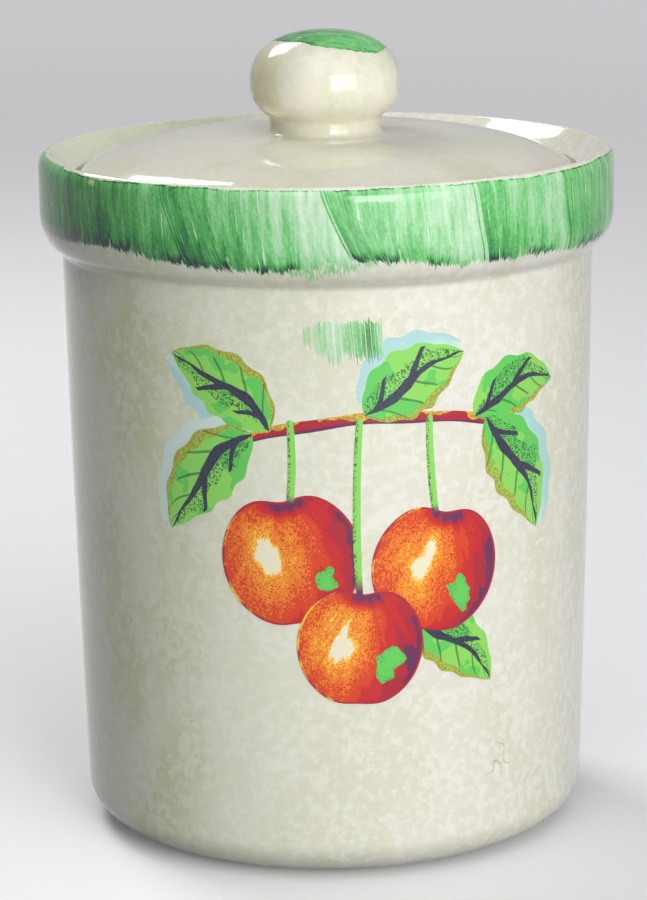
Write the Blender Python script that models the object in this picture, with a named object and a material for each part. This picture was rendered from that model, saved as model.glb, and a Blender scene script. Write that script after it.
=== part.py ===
"""Kitchen canister: a glazed stoneware jar with a heavy collar, a domed lid with a knob, and a ribbed seal.

Units are metres and +Z is up. The origin is the centre of the base, on the surface the canister stands on.
Every piece is turned about the Z axis: an outline of (radius, height) points spun through a full circle.
"""

import math

import bmesh
import bpy
from mathutils import Matrix, Vector

# Jar: outside

RIM_RADIUS = 0.0700
JAR_HEIGHT = 0.1668
COLLAR_OVERHANG = 0.0053
COLLAR_WALL_HEIGHT = 0.0138
COLLAR_ROLL_HEIGHT = 0.0090
COLLAR_SLOPE = math.radians(40.0)
COLLAR_FILLET = 0.0018
BODY_TAPER = 0.0027
BODY_SWELL = 0.0003
HEEL_RUN = 0.0132
HEEL_RISE = 0.0096
FOOT_WIDTH = 0.0045
FOOT_RECESS = 0.0015

# Jar: mouth and inside

LIP_RUN = 0.0020
LIP_DROP = 0.0035
LIP_ROUND = 0.0016
MOUTH_SLOPE = math.radians(37.0)
LEDGE_WIDTH = 0.0028
LEDGE_DEPTH = 0.0085
LEDGE_ROUND = 0.0010
WALL = 0.0064
FLOOR = 0.0065
FLOOR_CORNER = 0.0090

# Lid

LID_CROWN = 0.0114
LID_CROWN_POWER = 2.4
LID_CROWN_FULLNESS = 0.525
LID_DIP = 0.0011
LID_DIP_SPREAD = 0.0080
LID_EDGE_HEIGHT = 0.0017
LID_SEAT_ROUND = 0.0007
LID_THICKNESS = 0.0052
NECK_RADIUS = 0.0136
NECK_HEIGHT = 0.0024
NECK_FILLET = 0.0012
NECK_BORE = 0.0085
FLANGE_WALL = 0.0045
FLANGE_SHOULDER = 0.0019
FLANGE_FOOT = 0.0020
FLANGE_ROUND = 0.0012

# Knob

KNOB_RADIUS = 0.0183
KNOB_UPPER = 0.0124
KNOB_LOWER = 0.0115
KNOB_FULLNESS = 2.3
KNOB_WAIST_HEIGHT = 0.0084
KNOB_WALL = 0.0045
KNOB_LIP = 0.0020
KNOB_ROUND = 0.0004

# Seal

SEAL_SPACE = 0.0036
SEAL_SEAT = 0.0012
SEAL_BAND = 0.0018
SEAL_HEIGHT = 0.0080
FIN_COUNT = 3
FIN_THICKNESS = 0.0011
FIN_LIFT = 0.0007

# Clearances between pieces that touch or run

REST_GAP = 0.0003
LID_SIDE_GAP = 0.0007
SEAL_GAP = 0.0003

# Fineness of the turned surfaces

TURN_STEPS = 64
KNOB_STEPS = 48
ROUND_STEPS = 7
SMALL_ROUND_STEPS = 3
SIDE_STEPS = 6
DOME_STEPS = 12
SHARP_ANGLE = math.radians(35.0)
MERGE_DISTANCE = 1e-6

# Sizes that follow from the ones above

BODY_TOP_RADIUS = RIM_RADIUS - COLLAR_OVERHANG
ROLL_END = math.atan2(COLLAR_ROLL_HEIGHT, COLLAR_OVERHANG * math.tan(COLLAR_SLOPE))
ROLL_END_RADIUS = BODY_TOP_RADIUS + COLLAR_OVERHANG * math.cos(ROLL_END)
ROLL_END_HEIGHT = JAR_HEIGHT - COLLAR_WALL_HEIGHT - COLLAR_ROLL_HEIGHT * math.sin(ROLL_END)
COLLAR_FILLET_RADIUS = BODY_TOP_RADIUS + COLLAR_FILLET
COLLAR_SLOPE_RUN = (ROLL_END_RADIUS - COLLAR_FILLET_RADIUS) * math.sin(COLLAR_SLOPE) + COLLAR_FILLET
BODY_TOP_HEIGHT = ROLL_END_HEIGHT - COLLAR_SLOPE_RUN / math.cos(COLLAR_SLOPE)
BODY_FOOT_RADIUS = BODY_TOP_RADIUS - BODY_TAPER
FOOT_RADIUS = BODY_FOOT_RADIUS - HEEL_RUN
BORE_RADIUS = BODY_TOP_RADIUS - WALL
LEDGE_HEIGHT = JAR_HEIGHT - LEDGE_DEPTH
RECESS_RADIUS = BORE_RADIUS + LEDGE_WIDTH
FLOOR_HEIGHT = FOOT_RECESS + FLOOR

LID_RADIUS = RECESS_RADIUS - LID_SIDE_GAP
LID_UNDERSIDE = LEDGE_HEIGHT + REST_GAP
LID_EDGE = LID_UNDERSIDE + LID_EDGE_HEIGHT
NECK_TOP = LID_EDGE + LID_CROWN + NECK_HEIGHT
FLANGE_RADIUS = BORE_RADIUS - SEAL_SPACE

KNOB_BOTTOM = NECK_TOP + REST_GAP
KNOB_WAIST = KNOB_BOTTOM + KNOB_WAIST_HEIGHT

GROOVE_RADIUS = FLANGE_RADIUS - SEAL_SEAT
GROOVE_TOP = LID_UNDERSIDE - FLANGE_SHOULDER
GROOVE_BOTTOM = GROOVE_TOP - SEAL_HEIGHT - 2 * SEAL_GAP
FLANGE_BOTTOM = GROOVE_BOTTOM - FLANGE_FOOT


def arc(centre, run, rise, start, end, steps=ROUND_STEPS):
    """Points of an elliptical arc, from start to end degrees, where 0 is outwards and 90 is up."""
    points = []
    for step in range(steps + 1):
        angle = math.radians(start + (end - start) * step / steps)
        points.append((centre[0] + run * math.cos(angle), centre[1] + rise * math.sin(angle)))
    return points


def bulge(height):
    """Outside radius of the knob that far above its waist, or below it where the height is negative."""
    rise = KNOB_UPPER if height > 0 else KNOB_LOWER
    return KNOB_RADIUS * (1 - (abs(height) / rise) ** KNOB_FULLNESS) ** (1 / KNOB_FULLNESS)


def body_radius(height):
    """Outside radius of the jar's side, a straight taper with a slight swell at half height."""
    share = (height - HEEL_RISE) / (BODY_TOP_HEIGHT - HEEL_RISE)
    return BODY_FOOT_RADIUS + BODY_TAPER * share + BODY_SWELL * 4 * share * (1 - share)


def dome_height(radius):
    """Height of the lid's upper face: a slight dip round the neck, then nearly flat, and steep at the edge."""
    share = min(radius / LID_RADIUS, 1.0)
    dip = LID_DIP * math.exp(-((max(radius - NECK_RADIUS, 0.0) / LID_DIP_SPREAD) ** 2))
    return LID_EDGE + LID_CROWN * (1 - share ** LID_CROWN_POWER) ** LID_CROWN_FULLNESS - dip


def glaze(name, colour, roughness):
    """A plain, non-metallic surface."""
    material = bpy.data.materials.new(name)
    material.use_nodes = True
    shader = material.node_tree.nodes["Principled BSDF"]
    shader.inputs["Base Color"].default_value = (*colour, 1.0)
    shader.inputs["Roughness"].default_value = roughness
    shader.inputs["Metallic"].default_value = 0.0
    material.diffuse_color = (*colour, 1.0)
    return material


def turn(name, outline, material, steps, ring=False):
    """A solid turned about Z from (radius, height) points; a ring's outline closes on itself."""
    mesh = bpy.data.meshes.new(name)
    build = bmesh.new()
    corners = [build.verts.new((radius, 0.0, height)) for radius, height in outline]
    edges = [build.edges.new(pair) for pair in zip(corners, corners[1:])]
    if ring:
        edges.append(build.edges.new((corners[-1], corners[0])))
    bmesh.ops.spin(
        build,
        geom=corners + edges,
        cent=Vector((0.0, 0.0, 0.0)),
        axis=Vector((0.0, 0.0, 1.0)),
        angle=math.tau,
        steps=steps,
        use_merge=True,
    )
    bmesh.ops.remove_doubles(build, verts=build.verts, dist=MERGE_DISTANCE)
    bmesh.ops.recalc_face_normals(build, faces=build.faces)
    build.to_mesh(mesh)
    build.free()
    mesh.materials.append(material)
    mesh.shade_smooth()
    mesh.set_sharp_from_angle(angle=SHARP_ANGLE)
    piece = bpy.data.objects.new(name, mesh)
    bpy.context.scene.collection.objects.link(piece)
    return piece


def hang_on(parent, piece):
    """Parent a piece without moving it."""
    piece.parent = parent
    piece.matrix_parent_inverse = parent.matrix_world.inverted()


def set_origin(piece, height):
    """Put a piece's origin on the turning axis at a height, with its shape left where it is."""
    piece.data.transform(Matrix.Translation((0.0, 0.0, -height)))
    piece.location = (0.0, 0.0, height)


def make_jar(material):
    """The jar: foot ring, rounded heel, tapered side, hollow fillet, rolled collar, mouth, ledge and inside."""
    foot_inner = FOOT_RADIUS - FOOT_WIDTH
    outline = [(0.0, FOOT_RECESS), (foot_inner - FOOT_RECESS, FOOT_RECESS), (foot_inner, 0.0)]
    outline += arc((FOOT_RADIUS, HEEL_RISE), HEEL_RUN, HEEL_RISE, -90, 0)

    for step in range(1, SIDE_STEPS + 1):
        height = HEEL_RISE + (BODY_TOP_HEIGHT - HEEL_RISE) * step / SIDE_STEPS
        outline.append((body_radius(height), height))

    fillet_centre = (COLLAR_FILLET_RADIUS, BODY_TOP_HEIGHT)
    fillet_end = 90 + math.degrees(COLLAR_SLOPE)
    outline += arc(fillet_centre, COLLAR_FILLET, COLLAR_FILLET, 180, fillet_end, SMALL_ROUND_STEPS)[1:]
    roll_centre = (BODY_TOP_RADIUS, JAR_HEIGHT - COLLAR_WALL_HEIGHT)
    outline += arc(roll_centre, COLLAR_OVERHANG, COLLAR_ROLL_HEIGHT, -math.degrees(ROLL_END), 0)

    crest_radius = RIM_RADIUS - LIP_RUN
    outline += arc((crest_radius, JAR_HEIGHT - LIP_DROP), LIP_RUN, LIP_DROP, 0, 90)
    inner_centre = (crest_radius, JAR_HEIGHT - LIP_ROUND)
    slope_start = 90 + math.degrees(MOUTH_SLOPE)
    outline += arc(inner_centre, LIP_ROUND, LIP_ROUND, 90, slope_start, SMALL_ROUND_STEPS)[1:]
    slope_fall = (outline[-1][0] - RECESS_RADIUS) * math.tan(MOUTH_SLOPE)
    outline.append((RECESS_RADIUS, outline[-1][1] - slope_fall))

    outline.append((RECESS_RADIUS, LEDGE_HEIGHT))
    ledge_centre = (BORE_RADIUS + LEDGE_ROUND, LEDGE_HEIGHT - LEDGE_ROUND)
    outline += arc(ledge_centre, LEDGE_ROUND, LEDGE_ROUND, 90, 180, SMALL_ROUND_STEPS)

    outline.append((BORE_RADIUS, BODY_TOP_HEIGHT))
    corner_height = FLOOR_HEIGHT + FLOOR_CORNER
    for step in range(1, SIDE_STEPS + 1):
        height = BODY_TOP_HEIGHT + (corner_height - BODY_TOP_HEIGHT) * step / SIDE_STEPS
        outline.append((body_radius(height) - WALL, height))
    corner_centre = (outline[-1][0] - FLOOR_CORNER, corner_height)
    outline += arc(corner_centre, FLOOR_CORNER, FLOOR_CORNER, 0, -90)[1:]
    outline.append((0.0, FLOOR_HEIGHT))
    return turn("jar", outline, material, TURN_STEPS)


def make_lid(material):
    """The lid: a dome with a short hollow neck for the knob, and a grooved flange that drops into the jar."""
    fillet_radius = NECK_RADIUS + NECK_FILLET
    fillet_height = dome_height(fillet_radius)
    outline = [(NECK_BORE, NECK_TOP), (NECK_RADIUS, NECK_TOP)]
    fillet_centre = (fillet_radius, fillet_height + NECK_FILLET)
    outline += arc(fillet_centre, NECK_FILLET, NECK_FILLET, 180, 270, SMALL_ROUND_STEPS)

    for step in range(1, DOME_STEPS + 1):
        angle = math.radians(90.0 * step / DOME_STEPS)
        radius = fillet_radius + (LID_RADIUS - fillet_radius) * math.sin(angle)
        outline.append((radius, dome_height(radius)))

    seat_centre = (LID_RADIUS - LID_SEAT_ROUND, LID_UNDERSIDE + LID_SEAT_ROUND)
    outline += arc(seat_centre, LID_SEAT_ROUND, LID_SEAT_ROUND, 0, -90, SMALL_ROUND_STEPS)

    flange_inner = FLANGE_RADIUS - FLANGE_WALL
    flange_tip = FLANGE_BOTTOM + FLANGE_ROUND
    outline += [(FLANGE_RADIUS, LID_UNDERSIDE), (FLANGE_RADIUS, GROOVE_TOP), (GROOVE_RADIUS, GROOVE_TOP)]
    outline += [(GROOVE_RADIUS, GROOVE_BOTTOM), (FLANGE_RADIUS, GROOVE_BOTTOM)]
    for radius, start in ((FLANGE_RADIUS - FLANGE_ROUND, 0), (flange_inner + FLANGE_ROUND, -90)):
        outline += arc((radius, flange_tip), FLANGE_ROUND, FLANGE_ROUND, start, start - 90, SMALL_ROUND_STEPS)

    for step in range(SIDE_STEPS + 1):
        radius = flange_inner + (NECK_BORE - flange_inner) * step / SIDE_STEPS
        outline.append((radius, dome_height(radius) - LID_THICKNESS))
    return turn("lid", outline, material, TURN_STEPS, ring=True)


def make_knob(material):
    """The knob: a hollow bun, wider than it is high, with an open flat base on the lid's neck."""
    centre = (0.0, KNOB_WAIST)
    outline = []
    for step in range(DOME_STEPS + 1):
        height = KNOB_UPPER * math.cos(math.radians(90.0 * step / DOME_STEPS)) ** (2 / KNOB_FULLNESS)
        outline.append((bulge(height), KNOB_WAIST + height))
    for step in range(1, ROUND_STEPS + 1):
        height = (KNOB_ROUND - KNOB_WAIST_HEIGHT) * step / ROUND_STEPS
        outline.append((bulge(height), KNOB_WAIST + height))
    outline += [(outline[-1][0] - KNOB_ROUND, KNOB_BOTTOM), (NECK_BORE, KNOB_BOTTOM)]

    hollow_radius = KNOB_RADIUS - KNOB_WALL
    throat_angle = math.acos(NECK_BORE / hollow_radius)
    hollow_lower = (KNOB_WAIST_HEIGHT - KNOB_LIP) / math.sin(throat_angle)
    outline += arc(centre, hollow_radius, hollow_lower, -math.degrees(throat_angle), 0, SMALL_ROUND_STEPS)
    outline += arc(centre, hollow_radius, KNOB_UPPER - KNOB_WALL, 0, 90)[1:]
    for end in (0, -1):
        outline[end] = (0.0, outline[end][1])
    return turn("knob", outline, material, KNOB_STEPS)


def make_seal(material):
    """The seal: a band in the flange's groove with thin fins that lean up and brush the jar's bore."""
    inner = GROOVE_RADIUS + SEAL_GAP
    outer = inner + SEAL_BAND
    tip = BORE_RADIUS - SEAL_GAP
    bottom = GROOVE_BOTTOM + SEAL_GAP
    top = bottom + SEAL_HEIGHT
    outline = [(inner, top), (inner, bottom), (outer, bottom)]
    pitch = SEAL_HEIGHT / FIN_COUNT
    for fin in range(FIN_COUNT):
        root = bottom + pitch * (fin + 0.5) - FIN_THICKNESS / 2 - FIN_LIFT / 2
        outline.append((outer, root))
        outline.append((tip, root + FIN_LIFT))
        outline.append((tip, root + FIN_LIFT + FIN_THICKNESS / 2))
        outline.append((outer, root + FIN_THICKNESS))
    outline.append((outer, top))
    return turn("seal_ring", outline, material, TURN_STEPS, ring=True)


def make_canister():
    """All four pieces, each with its own material; the lid carries the knob, and the seal carries the lid."""
    jar = make_jar(glaze("jar_glaze", (0.78, 0.75, 0.64), 0.18))
    seal = make_seal(glaze("seal_silicone", (0.72, 0.71, 0.67), 0.55))
    lid = make_lid(glaze("lid_glaze", (0.74, 0.71, 0.61), 0.18))
    knob = make_knob(glaze("knob_glaze", (0.80, 0.77, 0.66), 0.15))

    set_origin(seal, GROOVE_BOTTOM)
    set_origin(lid, LEDGE_HEIGHT)
    set_origin(knob, KNOB_BOTTOM)
    bpy.context.view_layer.update()
    hang_on(jar, seal)
    hang_on(seal, lid)
    hang_on(lid, knob)


for thing in list(bpy.data.objects):
    bpy.data.objects.remove(thing, do_unlink=True)
make_canister()
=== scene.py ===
"""Kitchen canister: the looks of a glazed stoneware jar with its lid, knob and seal, and the fruit printed on it.

Units are metres and +Z is up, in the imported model's frame: the origin is the centre of the base and the printed
side faces -Y. An azimuth is an angle about +Z, from -Y towards +X. Each turned piece is an outline of
(radius, height) points that a node tree spins round; the outline runs anticlockwise, up the outside.
"""

import math
from itertools import count

import bpy
from mathutils import Matrix, Vector


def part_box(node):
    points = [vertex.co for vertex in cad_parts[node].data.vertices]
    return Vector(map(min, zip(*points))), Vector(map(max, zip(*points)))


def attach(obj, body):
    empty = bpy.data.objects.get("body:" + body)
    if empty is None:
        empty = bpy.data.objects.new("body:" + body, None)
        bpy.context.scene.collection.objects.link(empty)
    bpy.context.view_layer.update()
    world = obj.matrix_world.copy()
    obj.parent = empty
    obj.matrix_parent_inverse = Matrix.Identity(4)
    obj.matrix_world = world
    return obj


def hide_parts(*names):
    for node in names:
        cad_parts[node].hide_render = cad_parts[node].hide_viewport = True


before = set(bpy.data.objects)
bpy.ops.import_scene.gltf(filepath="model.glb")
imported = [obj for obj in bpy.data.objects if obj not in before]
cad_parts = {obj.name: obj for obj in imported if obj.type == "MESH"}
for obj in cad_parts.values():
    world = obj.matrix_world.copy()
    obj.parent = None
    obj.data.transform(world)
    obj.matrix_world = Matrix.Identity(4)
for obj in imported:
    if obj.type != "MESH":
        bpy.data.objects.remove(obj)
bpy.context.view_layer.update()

# Sizes that the frame gives

JAR_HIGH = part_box("jar")[1]
LID_LOW, LID_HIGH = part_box("lid")
KNOB_LOW, KNOB_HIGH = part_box("knob")
SEAL_LOW, SEAL_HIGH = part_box("seal_ring")

RIM_RADIUS = JAR_HIGH.x
JAR_HEIGHT = JAR_HIGH.z
LID_RADIUS = LID_HIGH.x
NECK_TOP = LID_HIGH.z
FLANGE_BOTTOM = LID_LOW.z
KNOB_RADIUS = KNOB_HIGH.x
KNOB_BOTTOM = KNOB_LOW.z
SEAL_TIP = SEAL_HIGH.x

# Jar

COLLAR_OVERHANG = 0.0053
COLLAR_WALL_HEIGHT = 0.0138
COLLAR_ROLL_HEIGHT = 0.0090
COLLAR_SLOPE = math.radians(40.0)
COLLAR_FILLET = 0.0018
BODY_TAPER = 0.0027
BODY_SWELL = 0.0003
HEEL_RUN = 0.0132
HEEL_RISE = 0.0096
FOOT_WIDTH = 0.0045
FOOT_RECESS = 0.0015
FOOT_ROUND = 0.0004
LIP_RUN = 0.0020
LIP_DROP = 0.0035
LIP_ROUND = 0.0016
MOUTH_SLOPE = math.radians(37.0)
MOUTH_HOLLOW = 0.0003
LEDGE_WIDTH = 0.0028
LEDGE_DEPTH = 0.0085
LEDGE_ROUND = 0.0010
WALL = 0.0064
FLOOR = 0.0065
FLOOR_CORNER = 0.0090

# Lid, knob and seal

LID_CROWN_POWER = 2.4
LID_CROWN_FULLNESS = 0.525
LID_DIP = 0.0011
LID_DIP_SPREAD = 0.0080
LID_EDGE_HEIGHT = 0.0017
LID_SEAT_ROUND = 0.0007
LID_THICKNESS = 0.0052
NECK_RADIUS = 0.0136
NECK_HEIGHT = 0.0024
NECK_FILLET = 0.0014
NECK_BORE = 0.0085
FLANGE_WALL = 0.0045
FLANGE_SHOULDER = 0.0019
FLANGE_FOOT = 0.0020
FLANGE_ROUND = 0.0012
KNOB_UPPER = 0.0124
KNOB_LOWER = 0.0115
KNOB_FULLNESS = 2.3
KNOB_WALL = 0.0045
KNOB_LIP = 0.0020
KNOB_ROUND = 0.0004
SEAL_SPACE = 0.0036
SEAL_SEAT = 0.0012
SEAL_BAND = 0.0018
SEAL_GAP = 0.0003
FIN_COUNT = 3
FIN_THICKNESS = 0.0011
FIN_LIFT = 0.0007
REST_GAP = 0.0003
JOINT_FILLET = 0.0015
JOINT_TURN = 57.0

# Sizes that follow from the ones above

BODY_TOP_RADIUS = RIM_RADIUS - COLLAR_OVERHANG
ROLL_END = math.atan2(COLLAR_ROLL_HEIGHT, COLLAR_OVERHANG * math.tan(COLLAR_SLOPE))
ROLL_END_RADIUS = BODY_TOP_RADIUS + COLLAR_OVERHANG * math.cos(ROLL_END)
ROLL_END_HEIGHT = JAR_HEIGHT - COLLAR_WALL_HEIGHT - COLLAR_ROLL_HEIGHT * math.sin(ROLL_END)
COLLAR_FILLET_RADIUS = BODY_TOP_RADIUS + COLLAR_FILLET
COLLAR_SLOPE_RUN = (ROLL_END_RADIUS - COLLAR_FILLET_RADIUS) * math.sin(COLLAR_SLOPE) + COLLAR_FILLET
BODY_TOP_HEIGHT = ROLL_END_HEIGHT - COLLAR_SLOPE_RUN / math.cos(COLLAR_SLOPE)
BODY_FOOT_RADIUS = BODY_TOP_RADIUS - BODY_TAPER
FOOT_RADIUS = BODY_FOOT_RADIUS - HEEL_RUN
BORE_RADIUS = BODY_TOP_RADIUS - WALL
RECESS_RADIUS = BORE_RADIUS + LEDGE_WIDTH
LEDGE_HEIGHT = JAR_HEIGHT - LEDGE_DEPTH
FLOOR_HEIGHT = FOOT_RECESS + FLOOR
CREST_RADIUS = RIM_RADIUS - LIP_RUN
LID_UNDERSIDE = LEDGE_HEIGHT + REST_GAP
LID_EDGE = LID_UNDERSIDE + LID_EDGE_HEIGHT
LID_CROWN = NECK_TOP - NECK_HEIGHT - LID_EDGE
FLANGE_RADIUS = BORE_RADIUS - SEAL_SPACE
GROOVE_RADIUS = FLANGE_RADIUS - SEAL_SEAT
GROOVE_TOP = LID_UNDERSIDE - FLANGE_SHOULDER
GROOVE_BOTTOM = FLANGE_BOTTOM + FLANGE_FOOT
KNOB_WAIST = KNOB_HIGH.z - KNOB_UPPER

# Fineness and evenness of the turned surfaces

TURN_STEPS = 256
KNOB_STEPS = 160
ARC_STEPS = 18
SMALL_ARC_STEPS = 8
SIDE_STEPS = 60
DOME_STEPS = 44
UNEVENNESS = 0.00006
UNEVENNESS_SIZE = 0.034
SHARP_ANGLE = math.radians(40.0)
MERGE_DISTANCE = 1e-6
MOTIF = "motif"

# The printed design: places are across, an arc round the jar's side from -Y towards +X, and up, from its middle

DESIGN_ACROSS = 0.0080
DESIGN_UP = 0.0850
FIRST_LIFT = 0.00002
LAYER_LIFT = 0.00001
BEDDING = 0.00006

# Blades: across, up, heading, length, half width and bend, with angles in degrees

LEAVES = (
    (-0.0220, 0.0250, 125.0, 0.0300, 0.0076, 40.0),
    (0.0000, 0.0285, 40.0, 0.0275, 0.0080, -22.0),
    (0.0270, 0.0260, 42.0, 0.0270, 0.0072, -60.0),
    (-0.0260, 0.0240, 210.0, 0.0330, 0.0080, 36.0),
    (0.0300, 0.0255, -45.0, 0.0340, 0.0082, -30.0),
    (0.0100, -0.0200, -25.0, 0.0290, 0.0072, -30.0),
)
WASHES = ((0, 1.0), (1, 1.0), (3, -1.0), (4, 1.0))
WASH_SHIFT = 0.0022
WASH_LENGTHENED = 1.03
WASH_WIDENED = 1.12
TWIG = (0.0340, 0.0240, 165.0, 0.0680, 0.0014, 35.0)
STALKS = (
    (-0.0175, 0.0068, 84.0, 0.0210, 0.0009, 10.0),
    (0.0170, 0.0030, 100.0, 0.0250, 0.0009, -12.0),
    (-0.0015, -0.0158, 94.0, 0.0440, 0.0009, -9.0),
)

# How a blade is cut: its fullness near and far, its waves and their depth

CUT_PARTS = ("fullness_near", "fullness_far", "waves", "wave_depth")
LEAF_CUT = (0.72, 0.92, 4.5, 0.06)
TWIG_CUT = (0.16, 0.14, 3.0, 0.16)
STALK_CUT = (0.10, 0.10, 1.0, 0.05)

# Apples: across, up, radius and lean in degrees

APPLES = (
    (-0.0175, -0.0060, 0.0165, -8.0),
    (0.0170, -0.0095, 0.0160, 9.0),
    (-0.0015, -0.0270, 0.0150, 3.0),
)
APPLE_NOTCH = 0.17
APPLE_SHOULDERS = 0.045

# The patch of brush marks

PATCH_ACROSS = -0.0055
PATCH_UP = 0.1256
PATCH_WIDTH = 0.0182
PATCH_HEIGHT = 0.0104
PATCH_LEAN = 0.07
PATCH_BRISTLES = 70

# Camera, placed from the photograph's perspective

PICTURE_HEIGHT = 900
CAMERA_FOCAL_PIXELS = 3303.6
CAMERA_PLACE = Vector((0.0, -0.800, 0.27422))
CAMERA_PITCH = math.radians(12.90)
CAMERA_YAW = math.radians(-0.121)
CAMERA_ROLL = math.radians(-0.86)

# Studio: lamps by azimuth, elevation, distance, width, height and power

AIM = Vector((0.0, 0.0, 0.10))
LAMPS = {
    "key_lamp": (28.0, 10.5, 1.20, 0.84, 0.72, 8.6),
    "key_core": (18.0, 10.5, 1.18, 0.30, 0.50, 3.3),
    "back_lamp": (-142.0, 45.0, 1.00, 0.40, 0.36, 4.9),
    "top_lamp": (15.0, 62.0, 1.90, 2.20, 2.20, 19.6),
}
ROOM_LIGHT = 0.05
ROOM_SHOWN = 0.50
FLOOR_SIZE = 8.0
GLOW_NEAR, GLOW_FAR = 0.20, 2.20


def srgb(red, green, blue):
    """A colour from its 0 to 255 display values, as the linear values that shaders take."""
    linear = []
    for level in (red, green, blue):
        share = level / 255.0
        linear.append(share / 12.92 if share <= 0.04045 else ((share + 0.055) / 1.055) ** 2.4)
    return (*linear, 1.0)


# Arithmetic in node trees


class Wire:
    """A value in a node tree. Arithmetic on it adds the Math nodes that work it out."""

    def __init__(self, tree, socket):
        self.tree = tree
        self.socket = socket


def sign(operation, turned=False):
    """What an arithmetic sign does between a wire and another value."""
    return lambda wire, other: calc(operation, other, wire) if turned else calc(operation, wire, other)


for label, operation in {"add": "ADD", "sub": "SUBTRACT", "mul": "MULTIPLY", "truediv": "DIVIDE"}.items():
    setattr(Wire, f"__{label}__", sign(operation))
    setattr(Wire, f"__r{label}__", sign(operation, True))
Wire.__pow__ = sign("POWER")
Wire.__gt__ = sign("GREATER_THAN")
Wire.__lt__ = sign("LESS_THAN")


def connect(value, socket):
    """Feed a socket from a wire, or set it to a constant."""
    if isinstance(value, Wire):
        value.tree.links.new(value.socket, socket)
    else:
        socket.default_value = value


def in_use(row, label):
    """The socket of that name that the node's settings leave in use."""
    return next(socket for socket in row if socket.name == label and socket.enabled)


def add(tree, kind, inputs=None, output=None, **settings):
    """Add a node with its settings and inputs, and give one of its outputs."""
    node = tree.nodes.new(kind)
    for label, value in settings.items():
        setattr(node, label, value)
    for label, value in (inputs or {}).items():
        connect(value, in_use(node.inputs, label))
    if output:
        return Wire(tree, in_use(node.outputs, output))
    return Wire(tree, next(socket for socket in node.outputs if socket.enabled))


def math_node(kind, operation, values):
    """A math node of one kind over constants and wires."""
    tree = next(value.tree for value in values if isinstance(value, Wire))
    node = tree.nodes.new(kind)
    node.operation = operation
    for value, socket in zip(values, node.inputs):
        connect(value, socket)
    return Wire(tree, node.outputs[0])


def calc(operation, *values):
    """Arithmetic on numbers."""
    return math_node("ShaderNodeMath", operation, values)


def stretch(vector, factors):
    """A vector multiplied part by part."""
    return math_node("ShaderNodeVectorMath", "MULTIPLY", (vector, factors))


def moved(vector, offset):
    """A vector plus an offset."""
    return math_node("ShaderNodeVectorMath", "ADD", (vector, offset))


def sine(angle):
    return calc("SINE", angle)


def cosine(angle):
    return calc("COSINE", angle)


def hypot(x, y):
    return calc("SQRT", x * x + y * y)


def polar(x, y):
    """The distance from the axis and the azimuth."""
    return hypot(x, y), calc("ARCTAN2", x, y * -1.0)


def fade(value, low, high):
    """0 below low, 1 above high and a smooth step between; low above high turns it round."""
    inputs = {"Value": value, "From Min": low, "From Max": high}
    return add(value.tree, "ShaderNodeMapRange", inputs, interpolation_type="SMOOTHSTEP")


def bell(value, centre, width):
    """A smooth hump of height 1 at centre."""
    offset = (value - centre) / width
    return calc("EXPONENT", offset * offset * -1.0)


def pack(x, y, z):
    """A vector from three numbers or wires."""
    tree = next(part.tree for part in (x, y, z) if isinstance(part, Wire))
    return add(tree, "ShaderNodeCombineXYZ", {"X": x, "Y": y, "Z": z})


def around(radius, azimuth, third):
    """A vector whose first two parts go round the axis at a radius."""
    return pack(radius * sine(azimuth), radius * cosine(azimuth) * -1.0, third)


def chance(tree, seed, low, high):
    """A random number for each point or instance."""
    inputs = {"Min": low, "Max": high, "Seed": seed}
    return add(tree, "FunctionNodeRandomValue", inputs, "Value", data_type="FLOAT")


def unpack(vector):
    """The three parts of a vector."""
    node = vector.tree.nodes.new("ShaderNodeSeparateXYZ")
    connect(vector, node.inputs[0])
    return [Wire(vector.tree, socket) for socket in node.outputs]


def noise(place, size, detail=2.0, roughness=0.5, output="Fac"):
    """Soft noise from 0 to 1, its patches about one size across."""
    inputs = {"Vector": place, "Scale": 1.0 / size, "Detail": detail, "Roughness": roughness}
    return add(place.tree, "ShaderNodeTexNoise", inputs, output)


def patches(place, size, low, high, detail=2.0, roughness=0.5):
    """Soft patches of noise: 0 where it is below low and 1 where it is above high."""
    return fade(noise(place, size, detail, roughness), low, high)


def sway(place, size, depth, detail=2.0, roughness=0.5):
    """Noise to both sides of 0, as deep as depth from one extreme to the other."""
    return (noise(place, size, detail, roughness) - 0.5) * depth


def cells(place, size):
    """Scattered round cells: the distance from the nearest one's middle, in sizes, and its random number."""
    node = place.tree.nodes.new("ShaderNodeTexVoronoi")
    connect(place, node.inputs["Vector"])
    node.inputs["Scale"].default_value = 1.0 / size
    luck = unpack(Wire(place.tree, node.outputs["Color"]))[0]
    return Wire(place.tree, node.outputs["Distance"]), luck


def blend(share, first, second):
    """A colour between two, by a share from 0 to 1."""
    inputs = {"Factor": share, "A": first, "B": second}
    return add(share.tree, "ShaderNodeMix", inputs, "Result", data_type="RGBA")


def ramp(value, stops, interpolation="LINEAR"):
    """A colour looked up from (position, colour) stops."""
    node = value.tree.nodes.new("ShaderNodeValToRGB")
    table = node.color_ramp
    table.interpolation = interpolation
    while len(table.elements) < len(stops):
        table.elements.new(1.0)
    for element, (position, colour) in zip(table.elements, stops):
        element.position = position
        element.color = colour
    connect(value, node.inputs[0])
    return Wire(value.tree, node.outputs[0])


SOCKET_KINDS = {
    "colour": "NodeSocketColor",
    "geometry": "NodeSocketGeometry",
    "material": "NodeSocketMaterial",
    "number": "NodeSocketFloat",
    "vector": "NodeSocketVector",
    "whole": "NodeSocketInt",
}


def sockets(**kinds):
    """A group's sockets: the kind of each by its name, from the names of each kind in one text."""
    return {label: kind for kind, labels in kinds.items() for label in labels.split(", ")}


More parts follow.
